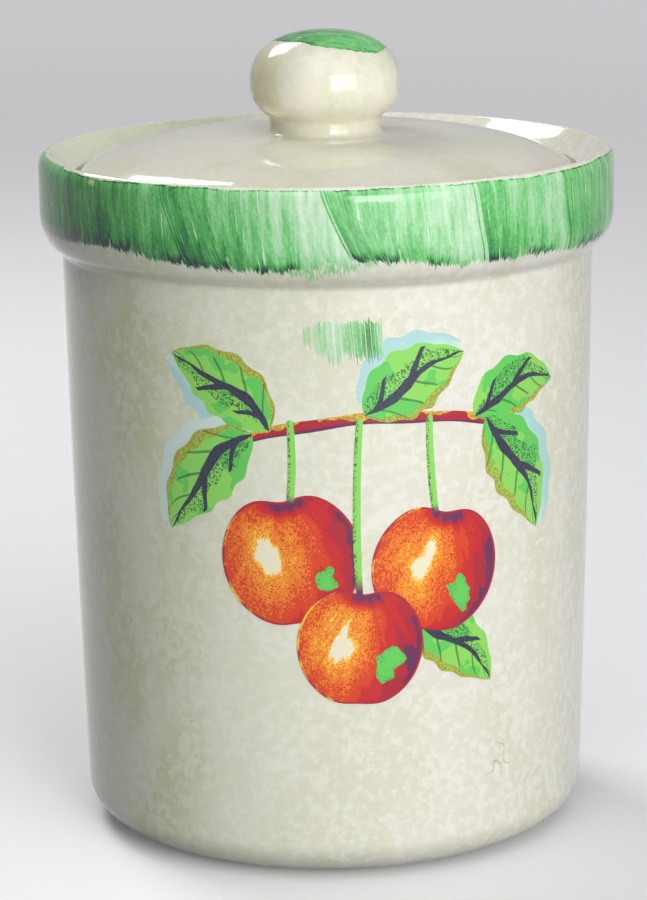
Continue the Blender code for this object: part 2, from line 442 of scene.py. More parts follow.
def start_group(name, kind, inputs, outputs):
    """A node group with named sockets, its inputs as wires, and its output node."""
    group = bpy.data.node_groups.new(name, kind)
    for labels, direction in ((inputs, "INPUT"), (outputs, "OUTPUT")):
        for label, socket in labels.items():
            group.interface.new_socket(label, in_out=direction, socket_type=SOCKET_KINDS[socket])
    source = group.nodes.new("NodeGroupInput")
    sink = group.nodes.new("NodeGroupOutput")
    return group, {label: Wire(group, source.outputs[label]) for label in inputs}, sink


def use_group(tree, group, inputs):
    """Place a shader group in a tree with its own values, and give its outputs by name."""
    node = tree.nodes.new("ShaderNodeGroup")
    node.node_tree = group
    for label, value in inputs.items():
        connect(value, node.inputs[label])
    return {socket.name: Wire(tree, socket) for socket in node.outputs}


# Camera, lamps and floor

FLOOR_SHOWN = srgb(238, 238, 240)
FLOOR_BOUNCE = srgb(104, 106, 112)
FLOOR_NEAR_GLOW = 0.10
FLOOR_FAR_GLOW = 0.50


def set_camera():
    """The photograph's view: its place, direction, slight roll and focal length."""
    ahead, down = math.cos(CAMERA_PITCH), math.sin(CAMERA_PITCH)
    forward = Vector((math.sin(CAMERA_YAW) * ahead, math.cos(CAMERA_YAW) * ahead, -down))
    level = Vector((math.cos(CAMERA_YAW), -math.sin(CAMERA_YAW), 0.0))
    upright = level.cross(forward)
    right = level * math.cos(CAMERA_ROLL) + upright * math.sin(CAMERA_ROLL)
    up = upright * math.cos(CAMERA_ROLL) - level * math.sin(CAMERA_ROLL)
    camera = bpy.data.objects.new("camera", bpy.data.cameras.new("camera"))
    bpy.context.scene.collection.objects.link(camera)
    camera.data.lens = CAMERA_FOCAL_PIXELS / PICTURE_HEIGHT * camera.data.sensor_width
    turn = Matrix((right, up, -forward)).transposed()
    camera.matrix_world = Matrix.Translation(CAMERA_PLACE) @ turn.to_4x4()
    bpy.context.scene.camera = camera


def hang_lamp(name, azimuth, elevation, distance, width, height, power):
    """A rectangular soft lamp that faces the canister."""
    lamp = bpy.data.objects.new(name, bpy.data.lights.new(name, "AREA"))
    bpy.context.scene.collection.objects.link(lamp)
    lamp.data.shape = "RECTANGLE"
    lamp.data.size = width
    lamp.data.size_y = height
    lamp.data.energy = power
    turn, lift = math.radians(azimuth), math.radians(elevation)
    away = Vector((math.sin(turn) * math.cos(lift), -math.cos(turn) * math.cos(lift), math.sin(lift)))
    lamp.location = AIM + away * distance
    lamp.rotation_euler = away.to_track_quat("Z", "Y").to_euler()


def seen_directly(tree):
    """1 where the camera looks, straight or by reflection, and 0 for light that only bounces."""
    path = tree.nodes.new("ShaderNodeLightPath")
    seen = Wire(tree, path.outputs["Is Camera Ray"])
    for ray in ("Is Glossy Ray", "Is Transmission Ray"):
        seen = calc("MAXIMUM", seen, Wire(tree, path.outputs[ray]))
    return seen


def make_studio():
    """Soft lamps, an even room and a plain pale floor that throws little light back up."""
    for name, setting in LAMPS.items():
        hang_lamp(name, *setting)

    world = bpy.data.worlds.new("room")
    bpy.context.scene.world = world
    world.use_nodes = True
    background = world.node_tree.nodes["Background"]
    background.inputs["Color"].default_value = srgb(250, 251, 255)
    strength = seen_directly(world.node_tree) * (ROOM_SHOWN - ROOM_LIGHT) + ROOM_LIGHT
    connect(strength, background.inputs["Strength"])

    mesh = bpy.data.meshes.new("floor")
    half = FLOOR_SIZE / 2
    mesh.from_pydata([(-half, -half, 0), (half, -half, 0), (half, half, 0), (-half, half, 0)], [], [(0, 1, 2, 3)])
    floor = bpy.data.objects.new("floor", mesh)
    bpy.context.scene.collection.objects.link(floor)
    material = bpy.data.materials.new("floor")
    material.use_nodes = True
    shader = material.node_tree.nodes["Principled BSDF"]
    seen = seen_directly(material.node_tree)
    connect(blend(seen, FLOOR_BOUNCE, FLOOR_SHOWN), shader.inputs["Base Color"])
    shader.inputs["Roughness"].default_value = 0.7
    x, y, _ = unpack(add(material.node_tree, "ShaderNodeTexCoord", output="Object"))
    far = fade(hypot(x, y), GLOW_NEAR, GLOW_FAR)
    shader.inputs["Emission Color"].default_value = FLOOR_SHOWN
    connect(seen * (far * (FLOOR_FAR_GLOW - FLOOR_NEAR_GLOW) + FLOOR_NEAR_GLOW), shader.inputs["Emission Strength"])
    mesh.materials.append(material)


# Finishes shared by several materials

SHAKE = (0.0026, 0.0026, 0.0026)
GLAZE_RELIEF = 0.00003
SILICONE_RELIEF = 0.00002
GLOSS_SIZE = 0.007
PEEL_SIZE = 0.0028


def make_sponged_glaze():
    """Gloss glaze with sponged pale spots, soft stains and a few iron specks."""
    group, given, sink = start_group(
        "sponged glaze",
        "ShaderNodeTree",
        sockets(vector="Place", colour="Ground, Spot, Stain", number="Spotting, Staining"),
        sockets(colour="Colour", number="Roughness, Height"),
    )
    place = given["Place"]
    clouds = patches(stretch(place, (1.0, 1.0, 0.45)), 0.017, 0.40, 0.62, 3.0)
    mottles = noise(place, 0.0022, 3.0, 0.6) + sway(moved(place, (0.31, 0.17, 0.05)), 0.016, 0.4)
    distance, luck = cells(moved(place, stretch(noise(place, 0.003, 2.0, output="Color"), SHAKE)), 0.0042)
    spots = fade(distance, 0.42, 0.16) * fade(luck, 0.60, 0.90)
    speck_distance, speck_luck = cells(place, 0.0067)
    specks = fade(speck_distance, 0.055, 0.028) * (speck_luck > 0.90)

    colour = blend(clouds * given["Staining"], given["Ground"], given["Stain"])
    sponged = calc("MAXIMUM", fade(mottles, 0.42, 0.66), spots)
    colour = blend(sponged * given["Spotting"], colour, given["Spot"])
    colour = blend(specks * 0.55, colour, srgb(120, 104, 74))
    connect(colour, sink.inputs["Colour"])
    connect(noise(place, GLOSS_SIZE) * 0.06 + 0.06, sink.inputs["Roughness"])
    connect(noise(place, PEEL_SIZE, 1.0) - specks * 0.8, sink.inputs["Height"])
    return group


PAINT_SHADES = (
    (0.00, srgb(214, 236, 206)),
    (0.18, srgb(186, 226, 186)),
    (0.36, srgb(150, 212, 152)),
    (0.52, srgb(108, 196, 112)),
    (0.66, srgb(78, 168, 84)),
    (0.80, srgb(46, 130, 70)),
    (0.92, srgb(24, 92, 60)),
    (1.00, srgb(14, 60, 46)),
)

# Fibres, streaks, patches and grain of the brush marks: how far each is drawn out, its size, detail and roughness

BRUSH_TEXTURES = (
    (0.090, 0.00046, 2.0, 0.60),
    (0.070, 0.00170, 2.0, 0.55),
    (0.500, 0.00560, 3.0, 0.60),
    (0.700, 0.00060, 3.0, 0.70),
)


def make_brushed_green():
    """Thin green paint laid on with a coarse brush, whose bristles run along the vector's third part."""
    group, given, sink = start_group(
        "brushed green",
        "ShaderNodeTree",
        sockets(vector="Bristles", number="Load, Pool"),
        sockets(colour="Colour", number="Height"),
    )
    bristles = given["Bristles"]
    fibre, streak, patch, grain = (
        noise(stretch(bristles, (1.0, 1.0, shortened)), size, detail, roughness)
        for shortened, size, detail, roughness in BRUSH_TEXTURES
    )
    missed = patches(stretch(bristles, (1.0, 1.0, 0.050)), 0.00066, 0.69, 0.76, 1.0)
    depth = given["Load"] + (fibre - 0.5) * 0.42 + (streak - 0.5) * 0.66 + (patch - 0.5) * 0.48
    depth = depth + (grain - 0.5) * 0.40 - missed * 0.44 + given["Pool"]
    connect(ramp(depth, PAINT_SHADES), sink.inputs["Colour"])
    connect(fibre * 0.6 + streak * 0.4, sink.inputs["Height"])
    return group


SPONGED_GLAZE = make_sponged_glaze()
BRUSHED_GREEN = make_brushed_green()

CREAM = srgb(226, 223, 207)
# Pale sponged spots, and also the painted highlight round the lid's edge
CREAM_SPOT_AND_HIGHLIGHT = srgb(240, 239, 231)
CREAM_STAIN = srgb(196, 201, 152)
CREAM_SHADE_TINT = srgb(208, 216, 184)
# Painted shade: the greener cream of the jar's shaded left side
CREAM_SHADE_OLIVE = srgb(204, 198, 138)
# Painted shade: the olive cream of the knob's shaded left side
CREAM_LID = srgb(223, 219, 202)
CREAM_KNOB = srgb(233, 229, 212)
BISCUIT = srgb(222, 204, 176)
# Painted shade: the brown of the crevice between the jar's mouth and the lid
CREVICE_SHADE = srgb(150, 118, 78)
STAINED = srgb(196, 150, 104)
CHIPPED = srgb(204, 200, 150)


def make_material(name, looks_at, relief=GLAZE_RELIEF):
    """A material whose colour, roughness and surface relief follow from the place in the object's own coordinates."""
    material = bpy.data.materials.new(name)
    material.use_nodes = True
    tree = material.node_tree
    shader = tree.nodes["Principled BSDF"]
    colour, roughness, height = looks_at(add(tree, "ShaderNodeTexCoord", output="Object"))
    connect(colour, shader.inputs["Base Color"])
    connect(roughness, shader.inputs["Roughness"])
    connect(add(tree, "ShaderNodeBump", {"Height": height, "Distance": relief}), shader.inputs["Normal"])
    return material


def glaze_at(place, ground, spotting, staining):
    """The sponged glaze's outputs with a ground colour of its own."""
    inputs = {"Place": place, "Ground": ground, "Spot": CREAM_SPOT_AND_HIGHLIGHT, "Stain": CREAM_STAIN}
    return use_group(place.tree, SPONGED_GLAZE, {**inputs, "Spotting": spotting, "Staining": staining})


def green_at(bristles, load, pool):
    """The brushed green's outputs, with the bristles along the vector's third part."""
    return use_group(bristles.tree, BRUSHED_GREEN, {"Bristles": bristles, "Load": load, "Pool": pool})


# The band brushed round the collar: each stroke's first azimuth, its paint at the start, half way and at the end,
# and how far its first bristle marks lean, as a tangent

STROKES = (
    (-172.0, 0.66, 0.50, 0.30, 0.20),
    (-146.0, 0.62, 0.44, 0.22, 0.26),
    (-117.0, 0.70, 0.56, 0.36, 0.18),
    (-89.0, 0.76, 0.72, 0.68, 0.12),
    (-61.0, 0.80, 0.72, 0.58, 0.16),
    (-33.0, 0.76, 0.46, 0.15, 0.37),
    (-1.5, 0.62, 0.42, 0.16, 0.43),
    (28.6, 0.58, 0.40, 0.34, 0.18),
    (51.5, 0.58, 0.50, 0.44, 0.16),
    (84.0, 0.66, 0.48, 0.30, 0.22),
    (111.0, 0.70, 0.46, 0.18, 0.30),
    (139.0, 0.60, 0.44, 0.24, 0.18),
    (163.0, 0.64, 0.50, 0.34, 0.16),
)
EVEN_LEAN = 0.07
FIRST_REACH = (-1.5, 9.0)

# How far the paint reaches down from the rim, by azimuth

REACHES = (
    *((-180.0, 0.0176), (-65.0, 0.0173), (-49.0, 0.0162), (-42.0, 0.0167), (-33.0, 0.0178)),
    *((-27.0, 0.0190), (-10.0, 0.0192), (-3.0, 0.0186), (2.0, 0.0170), (9.0, 0.0168)),
    *((17.0, 0.0176), (25.0, 0.0194), (30.0, 0.0189), (36.0, 0.0193), (47.0, 0.0188)),
    *((54.0, 0.0196), (66.0, 0.0198), (100.0, 0.0182), (180.0, 0.0176)),
)
REACH_LIMIT = 0.03

BAND_TOP = 0.0005
BAND_INSIDE = 0.067
BAND_LIP = 0.005
BAND_CURVE = 16.0
PAINT_EDGE = 0.00022
TOP_EDGE = 0.00010
FRINGE_AZIMUTH = math.radians(1.0)
FRINGE_WIDTH = 0.15
FRINGE_DROP = 0.0032
FRINGE_RISE = 0.0004
FRINGE_LOAD = 0.42
CHIP_AZIMUTH = math.radians(-51.0)
CHIP_DROP = 0.0017
CHIP_SIZE = 0.0013
CHIP_STRETCH = 0.55
TOP_LAP_START = math.radians(-62.0)
TOP_LAP_SPREAD = 0.10
TOP_LAP = 0.0011
MARK_AZIMUTH = math.radians(38.0)
MARK_HEIGHT = 0.0265
STAIN_AZIMUTH = math.radians(-47.0)
# Painted shade: the glaze turns greener from the right towards the shaded left side
SHADE_TINT_RIGHT, SHADE_TINT_LEFT = 0.030, -0.052


def grey(level):
    return (level, level, level, 1.0)


def stroke_at(azimuth):
    """How much paint a bristle lays there and how far it leans: a stroke starts full and leaning and runs dry."""
    first = STROKES[0][0]
    share = calc("FLOORED_MODULO", azimuth - math.radians(first), math.tau) / math.tau
    starts = [((row[0] - first) / 360.0, grey(number / len(STROKES))) for number, row in enumerate(STROKES)]
    order = ramp(share, starts + [(1.0, grey(1.0))]) * len(STROKES)
    stroke = calc("FLOOR", order)
    along = order - stroke
    place = (stroke + 0.5) / len(STROKES)
    paints = [(number / len(STROKES), (*row[1:4], 1.0)) for number, row in enumerate(STROKES)]
    start, middle, end = unpack(ramp(place, paints, "CONSTANT"))
    leans = [(number / len(STROKES), grey(row[4])) for number, row in enumerate(STROKES)]
    lean = (ramp(place, leans, "CONSTANT") - EVEN_LEAN) * fade(along, 0.36, 0.0) + EVEN_LEAN
    early, late = calc("MINIMUM", along * 2.0, 1.0), calc("MAXIMUM", along * 2.0 - 1.0, 0.0)
    return start + (middle - start) * early + (end - middle) * late, lean


def by_azimuth(azimuth, table, limit=1.0):
    """A value looked up from (azimuth in degrees, value) pairs."""
    stops = [(angle / 360.0 + 0.5, grey(value / limit)) for angle, value in table]
    return ramp(azimuth / math.tau + 0.5, stops) * limit


def on_rim(azimuth, third=0.0):
    """A place on the rim's circle, with a third part of its own."""
    return pack(sine(azimuth) * RIM_RADIUS, cosine(azimuth) * -RIM_RADIUS, third)


def brushed_band(place, radius, azimuth, drop):
    """The green band over the collar: where it covers, its colour and relief, and the chip in it."""
    fall = drop * (drop * BAND_CURVE + 0.75) / RIM_RADIUS
    first_leans = [(row[0] + side, row[4]) for row in STROKES for side in FIRST_REACH]
    border = azimuth - by_azimuth(azimuth, first_leans) * fall
    load, lean = stroke_at(border + sway(on_rim(border), 0.0010, 0.16, 1.0))
    load = load * (drop * BAND_CURVE + 0.87)
    turned = azimuth - lean * fall
    hair = on_rim(turned)

    teeth = sway(hair, 0.0026, 0.0034) + sway(hair, 0.00040, 0.0046, 2.0, 0.7)
    slits = patches(moved(hair, (0.0, 0.0, 0.3)), 0.00085, 0.62, 0.74, 1.0) * 0.0032
    low = by_azimuth(azimuth, REACHES, REACH_LIMIT) + teeth - slits
    fringe_teeth = sway(moved(hair, (0.0, 0.0, 0.7)), 0.00046, 0.0052, 2.0, 0.7)
    fringe_low = low + slits + bell(azimuth, FRINGE_AZIMUTH, FRINGE_WIDTH) * FRINGE_DROP + fringe_teeth - FRINGE_RISE
    top = sway(hair, 0.020, 0.0016) + sway(hair, 0.0008, 0.0006) + BAND_TOP
    top = top - fade(azimuth, TOP_LAP_START, TOP_LAP_START - TOP_LAP_SPREAD) * TOP_LAP
    outside = radius > (drop < BAND_LIP) * (CREST_RADIUS - BAND_INSIDE) + BAND_INSIDE
    above_low = low - drop
    below_top = drop - top
    chip_reach = hypot((azimuth - CHIP_AZIMUTH) * RIM_RADIUS * CHIP_STRETCH, drop - CHIP_DROP)
    chip = fade(chip_reach - noise(place, 0.0008) * CHIP_SIZE, 0.00006, 0.0)
    painted = fade(above_low, 0.0, PAINT_EDGE)
    dry = patches(on_rim(turned, drop * 0.18), 0.00060, 0.36, 0.54)
    fringed = fade(fringe_low - drop, 0.0, PAINT_EDGE) * dry * 0.90
    cover = calc("MAXIMUM", painted, fringed) * fade(below_top, 0.0, TOP_EDGE) * outside * (1.0 - chip)

    pooling = patches(hair, 0.0075, 0.40, 0.56) * (noise(hair, 0.0009) * 0.9 + 0.2)
    pool = fade(above_low, 0.0028, 0.0003) * pooling * fade(load, 0.12, 0.50) * 0.66
    dashes = patches(hair, 0.0034, 0.44, 0.54, 3.0, 0.7)
    pool = pool * painted + fade(below_top, 0.00046, 0.00022) * dashes * 0.34
    green = green_at(on_rim(turned, drop), load * painted + (1.0 - painted) * FRINGE_LOAD, pool)
    return cover, green["Colour"], green["Height"], chip


def jar_glaze(place):
    """Cream sponged glaze with a painted shade tint on its left side, the green band, painted crevice shade by the
    lid's ledge, a few marks and a bare foot ring.
    """
    x, y, z = unpack(place)
    radius, azimuth = polar(x, y)
    # Painted shade: the glaze is tinted greener towards the left, the side away from the key lamp
    shade_side_tint = fade(x, SHADE_TINT_RIGHT, SHADE_TINT_LEFT)
    glaze = glaze_at(place, CREAM, 0.62, bell(azimuth, STAIN_AZIMUTH, 0.32) * 0.80 + 0.20)
    cover, green, bristle_relief, chip = brushed_band(place, radius, azimuth, JAR_HEIGHT - z)

    marked = bell(azimuth, MARK_AZIMUTH, 0.10) * bell(z, MARK_HEIGHT, 0.0048)
    marks = fade(calc("ABSOLUTE", noise(place, 0.0062, 1.0) - 0.5), 0.022, 0.004) * fade(marked, 0.30, 0.60)
    ledge = (radius < RECESS_RADIUS + 0.0004) * (z > LEDGE_HEIGHT - LEDGE_ROUND)
    # Painted shade: brown patches darken the ledge and the recess wall, where the crevice round the lid lies in shade
    crevice_shade = patches(place, 0.010, 0.40, 0.75, 3.0) * fade(z, LEDGE_HEIGHT + 0.0024, LEDGE_HEIGHT + 0.0006)
    bare = fade(z + sway(place, 0.004, 0.0003), 0.00045, 0.00030)
    colour = glaze["Colour"]
    layers = (
        (shade_side_tint * 0.45, CREAM_SHADE_TINT),
        (marks * 0.50, STAINED),
        (cover, green),
        (chip, CHIPPED),
        (crevice_shade * ledge * 0.30, CREVICE_SHADE),
        (bare, BISCUIT),
    )
    for share, over in layers:
        colour = blend(share, colour, over)
    height = glaze["Height"] + cover * bristle_relief * 0.3
    return colour, glaze["Roughness"] + bare * 0.5, height


def lid_glaze(place):
    """Cream glaze, a little duller than the jar's, with painted crevice shade at the foot of the edge and a painted
    highlight round the edge.
    """
    x, y, z = unpack(place)
    radius = hypot(x, y)
    glaze = glaze_at(place, CREAM_LID, 0.22, 0.30)
    edge = fade(radius, LID_RADIUS - 0.0012, LID_RADIUS) * fade(z, LID_EDGE + 0.0018, LID_EDGE)
    # Painted shade: brown patches darken the lid's edge where it goes down into the crevice
    crevice_shade = edge * patches(place, 0.009, 0.42, 0.70, 3.0)
    colour = blend(crevice_shade * 0.5, glaze["Colour"], CREVICE_SHADE)
    # Painted highlight: a pale band round the lid's rounded edge, where the lamps glint
    colour = blend(fade(radius, LID_RADIUS - 0.0012, LID_RADIUS - 0.0008) * 0.85, colour, CREAM_SPOT_AND_HIGHLIGHT)
    return colour, glaze["Roughness"], glaze["Height"]


# The cap of green brushed over the knob: a slightly tilted, ragged edge

CAP_HEIGHT = 0.1904
CAP_TILT_ACROSS = 0.149
CAP_TILT_DEPTH = 0.161
CAP_TURN = 0.0118
CAP_TURN_SPREAD = 0.0045
CAP_TURN_DROP = 0.0030
CAP_SAG = 0.0006
CAP_SAG_ACROSS = 0.0024
CAP_SAG_WIDTH = 0.0050


def knob_glaze(place):
    """Cream glaze with a painted olive shade on its front left, and a brushed green cap painted darker towards the
    shaded left.
    """
    x, y, z = unpack(place)
    glaze = glaze_at(place, CREAM_KNOB, 0.35, 0.40)
    ragged = sway(place, 0.0045, 0.0016) + sway(place, 0.0009, 0.0007, 3.0)
    above = z + CAP_TILT_ACROSS * x + CAP_TILT_DEPTH * y - CAP_HEIGHT + ragged
    above = above - fade(x, CAP_TURN, CAP_TURN + CAP_TURN_SPREAD) * CAP_TURN_DROP
    above = above + bell(x, CAP_SAG_ACROSS, CAP_SAG_WIDTH) * CAP_SAG
    cover = fade(above, 0.0, 0.00015)
    pool = fade(above, 0.0010, 0.0) * patches(place, 0.003, 0.35, 0.60) * 0.24
    # Painted shade: more paint towards the left makes the cap's shaded left side darker
    green = green_at(stretch(pack(y, z + x * 0.15, x), (0.6, 0.6, 0.6)), 0.60 + x * -7.0, pool)
    # Painted shade: the knob's front left is tinted olive, as it is in shade
    shaded_left = fade(x, -0.0080, -0.0170) * fade(y, 0.006, -0.004) * (noise(place, 0.005) * 0.8 + 0.2)
    colour = blend(shaded_left * 0.85, glaze["Colour"], CREAM_SHADE_OLIVE)
    colour = blend(cover, colour, green["Colour"])
    return colour, glaze["Roughness"], glaze["Height"] + cover * green["Height"] * 0.3


def seal_silicone(place):
    """Milky silicone with a dusty bloom."""
    bloom = noise(place, 0.006, 3.0)
    colour = blend(fade(bloom, 0.35, 0.75), srgb(222, 221, 214), srgb(206, 204, 194))
    return colour, bloom * 0.2 + 0.35, noise(place, 0.0008)


# The print's inks: flat patches of colour, broken up by a fine stipple


def make_stipple():
    """Fine speckles for printed ink, and the gloss over them."""
    group, given, sink = start_group(
        "print stipple",
        "ShaderNodeTree",
        sockets(vector="Place", number="Size"),
        sockets(number="Speckle, Grain, Roughness, Height"),
    )
    place, size = given["Place"], given["Size"]
    connect(patches(place, size, 0.51, 0.55, 2.0, 0.7), sink.inputs["Speckle"])
    connect(noise(moved(place, (0.2, 0.1, 0.3)), size, 1.0) - 0.5, sink.inputs["Grain"])
    connect(noise(place, GLOSS_SIZE) * 0.06 + 0.07, sink.inputs["Roughness"])
    connect(noise(place, PEEL_SIZE, 1.0), sink.inputs["Height"])
    return group


STIPPLE = make_stipple()
STIPPLE_SIZE = 0.00046

INK_CREAM = srgb(238, 231, 200)
INK_YELLOW = srgb(250, 192, 52)
INK_ORANGE = srgb(238, 122, 22)
INK_VERMILION = srgb(216, 62, 14)
INK_RED = srgb(202, 28, 28)
INK_CRIMSON = srgb(176, 24, 48)
INK_PURPLE = srgb(104, 38, 84)
INK_GREEN = srgb(98, 204, 88)
INK_LIME = srgb(140, 216, 92)
INK_FOREST = srgb(46, 104, 52)
INK_VIOLET = srgb(50, 38, 78)
INK_OLIVE = srgb(172, 148, 44)
INK_TEAL = srgb(168, 214, 212)
INK_PALE_TEAL = srgb(206, 228, 218)


def make_ink(name, colour_at):
    """A printed ink, whose colour follows from the place on the jar, the place in the motif and the stipple."""

    def looks_at(place):
        motif = add(place.tree, "ShaderNodeAttribute", output="Vector", attribute_name=MOTIF)
        stipple = use_group(place.tree, STIPPLE, {"Place": place, "Size": STIPPLE_SIZE})
        return colour_at(place, *unpack(motif), stipple), stipple["Roughness"], stipple["Height"]

    return make_material(name, looks_at)


def apple_colour(place, across, up, out, stipple):
    """A pale light, stippled orange, red round the side, a purple shade and a green patch."""
    speckle, grain = stipple["Speckle"], stipple["Grain"]
    wander = noise(place, 0.0085) - 0.5
    from_stem = calc("ARCTAN2", across, 1.25 - up)
    streaks = sway(pack(from_stem, up * 0.10, unpack(place)[0] * 4.0), 0.16, 0.50)
    level = hypot(across + 0.32, (up - 0.10) * 0.85) * 0.78 + wander * 0.42 + streaks
    dimple = fade(hypot(across, (up - 0.84) * 1.7), 0.46, 0.12)
    level = level + dimple * 0.42 + grain * 0.16

    stippled = blend(speckle, INK_ORANGE, INK_YELLOW)
    stippled = blend(fade(level + grain * 0.9, 0.34, 0.36), stippled, INK_ORANGE)
    stippled = blend(fade(level - grain * 1.2, 0.40, 0.42), stippled, INK_VERMILION)
    colour = blend(fade(level, 0.14, 0.145), INK_CREAM, INK_YELLOW)
    colour = blend(fade(level, 0.175, 0.18), colour, stippled)
    for limit, ink in ((0.56, INK_VERMILION), (0.63, INK_RED), (0.78, INK_CRIMSON), (0.92, INK_PURPLE)):
        colour = blend(fade(level, limit, limit + 0.006), colour, ink)
    patch_x, patch_y = across - 0.46, up + 0.34
    patch = calc("SQRT", patch_x * patch_x + patch_y * patch_y * 0.6) - wander * 0.9
    green = blend(speckle * fade(patch, 0.05, 0.20), INK_GREEN, INK_FOREST)
    colour = blend(fade(patch, 0.15, 0.14), colour, green)
    rim = blend(fade(level, 0.45, 0.55), INK_YELLOW, INK_CRIMSON)
    return blend(fade(out + wander * 0.03, 0.962, 0.968), colour, rim)


def leaf_colour(place, along, across, _, stipple):
    """Flat green, a violet rib with side bands, a stippled dark side and a gilded edge."""
    speckle = stipple["Speckle"]
    wander = noise(place, 0.0075) - 0.5
    from_rib = across + sine(along * 6.0 + 0.4) * 0.16
    width = calc("ABSOLUTE", from_rib)
    dark_side = fade(from_rib, 0.0, 0.06) * fade(width + wander * 1.1, 0.62, 0.58)
    colour = blend(fade(wander + along * 0.2, 0.10, 0.11), INK_GREEN, INK_LIME)
    colour = blend(speckle * dark_side, colour, INK_FOREST)
    gilded = fade(calc("ABSOLUTE", across) + wander * 0.5, 0.74, 0.75) * (across < 0.0)
    colour = blend(gilded, colour, blend(speckle, INK_OLIVE, INK_LIME))
    rib = fade(width - (1.0 - along) * 0.16 - wander * 0.25, 0.03, 0.02) * fade(along, 0.90, 0.86)
    side_wave = calc("FRACT", along * 2.6 - width * 0.80 + 0.24)
    bands = fade(calc("ABSOLUTE", side_wave - 0.5) + width * 0.10, 0.13, 0.12) * (from_rib > 0.0)
    bands = bands * fade(width + wander * 0.6, 0.70, 0.68)
    veins = fade(calc("ABSOLUTE", calc("FRACT", along * 5.2 - width * 1.2) - 0.5), 0.070, 0.045)
    veins = veins * (from_rib < 0.0) * fade(width, 0.82, 0.78)
    colour = blend(veins * 0.75, colour, INK_FOREST)
    violet = blend(speckle * 0.35, INK_VIOLET, INK_FOREST)
    return blend(calc("MAXIMUM", rib, bands), colour, violet)


def wash_colour(place, _, across, __, stipple):
    """The pale blue-green wash that lies beside a leaf."""
    share = fade(across + sway(place, 0.006, 0.8), 0.0, 0.9)
    colour = blend(share, INK_PALE_TEAL, INK_TEAL)
    return blend(stipple["Speckle"] * share * 0.25, colour, INK_PALE_TEAL)


def twig_colour(place, _, across, __, stipple):
    """A crimson twig with an olive light along its upper edge."""
    wander = noise(place, 0.006) - 0.5
    light = fade(wander - across * 0.20, 0.08, 0.10)
    colour = blend(light, INK_CRIMSON, blend(stipple["Speckle"], INK_OLIVE, INK_YELLOW))
    return blend(fade(across + wander, 0.55, 0.60), colour, INK_PURPLE)


def stalk_colour(_, along, across, __, stipple):
    """A light green stalk, darker and stippled along one side."""
    colour = blend(fade(across, 0.10, 0.45) * stipple["Speckle"], INK_LIME, INK_FOREST)
    return blend(fade(along, 0.16, 0.05), colour, INK_PURPLE)


def brush_mark(place):
    """A thin wash of the collar's green, laid on in upright bristle marks."""
    x, y, z = unpack(place)
    load = noise(pack(x, y, z * 0.12), 0.0045) * 1.10 - 0.12
    pool = fade(z, PATCH_UP + 0.0032, PATCH_UP + 0.0004) * patches(pack(x, y, 0.0), 0.0030, 0.45, 0.60, 1.0)
    green = green_at(pack(x + z * PATCH_LEAN, y, z), load, pool * 0.30)
    return green["Colour"], noise(place, GLOSS_SIZE) * 0.06 + 0.07, green["Height"]


# Outlines of the turned pieces


def arc(centre, run, rise, start, end, steps=ARC_STEPS):
    """Points of an elliptical arc, from start to end degrees, where 0 is outwards and 90 is up."""
    points = []
    for step in range(steps + 1):
        angle = math.radians(start + (end - start) * step / steps)
        points.append((centre[0] + run * math.cos(angle), centre[1] + rise * math.sin(angle)))
    return points


def round_off(centre, radius, start, end):
    """Points of a small round arc."""
    return arc(centre, radius, radius, start, end, SMALL_ARC_STEPS)


def shares(steps, first=1):
    """Even shares, from first / steps to 1."""
    return [step / steps for step in range(first, steps + 1)]


def dent(place, depth, size):
    """How far the surface lies below its outline there: soft hollows up to a depth, about one size across."""
    return noise(place, size, 1.0) * depth


def body_radius(height):
    """Outside radius of the jar's side, a straight taper with a slight swell at half height."""
    share = (height - HEEL_RISE) / (BODY_TOP_HEIGHT - HEEL_RISE)
    return BODY_FOOT_RADIUS + BODY_TAPER * share + BODY_SWELL * 4 * share * (1 - share)


WRAP_RADIUS = body_radius(DESIGN_UP)


def dome_height(radius):
    """Height of the lid's upper face: a slight dip round the neck, then nearly flat, and steep at the edge."""
    share = min(radius / LID_RADIUS, 1.0)
    dip = LID_DIP * math.exp(-((max(radius - NECK_RADIUS, 0.0) / LID_DIP_SPREAD) ** 2))
    return LID_EDGE + LID_CROWN * (1 - share**LID_CROWN_POWER) ** LID_CROWN_FULLNESS - dip


def bulge(height):
    """Outside radius of the knob that far above its waist, or below it where the height is negative."""
    rise = KNOB_UPPER if height > 0 else KNOB_LOWER
    return KNOB_RADIUS * (1 - (abs(height) / rise) ** KNOB_FULLNESS) ** (1 / KNOB_FULLNESS)


def under_bulge(radius):
    """How far below its waist the knob's underside is that wide."""
    return KNOB_LOWER * (1 - (radius / KNOB_RADIUS) ** KNOB_FULLNESS) ** (1 / KNOB_FULLNESS)


